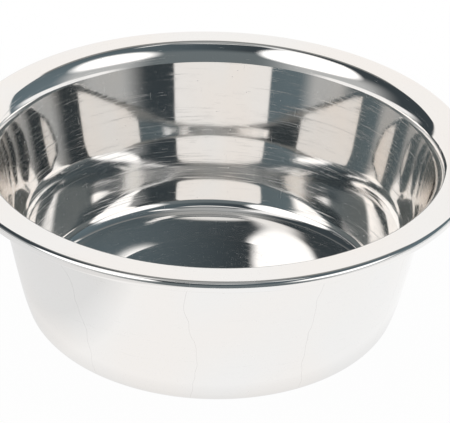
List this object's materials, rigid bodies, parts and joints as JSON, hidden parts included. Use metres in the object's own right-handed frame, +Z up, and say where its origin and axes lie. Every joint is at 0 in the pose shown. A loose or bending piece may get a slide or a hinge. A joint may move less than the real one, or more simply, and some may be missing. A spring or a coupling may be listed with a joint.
{
  "type": "pet bowl",
  "caption": "Round open feeding bowl pressed from polished sheet steel, with a flat floor, tapered wall, flat rim and rolled edge.",
  "frame": {"origin": "centre of the flat base, on the surface that the bowl stands on", "axes": "+Z up along the bowl's axis; X and Y are alike because the bowl is round"},
  "size_m": [0.21, 0.21, 0.0744],
  "materials": {
    "polished_steel": "mirror polished stainless steel with fine circular polishing lines"
  },
  "bodies": {
    "root": {"bowl": "polished_steel"}
  },
  "joints": []
}
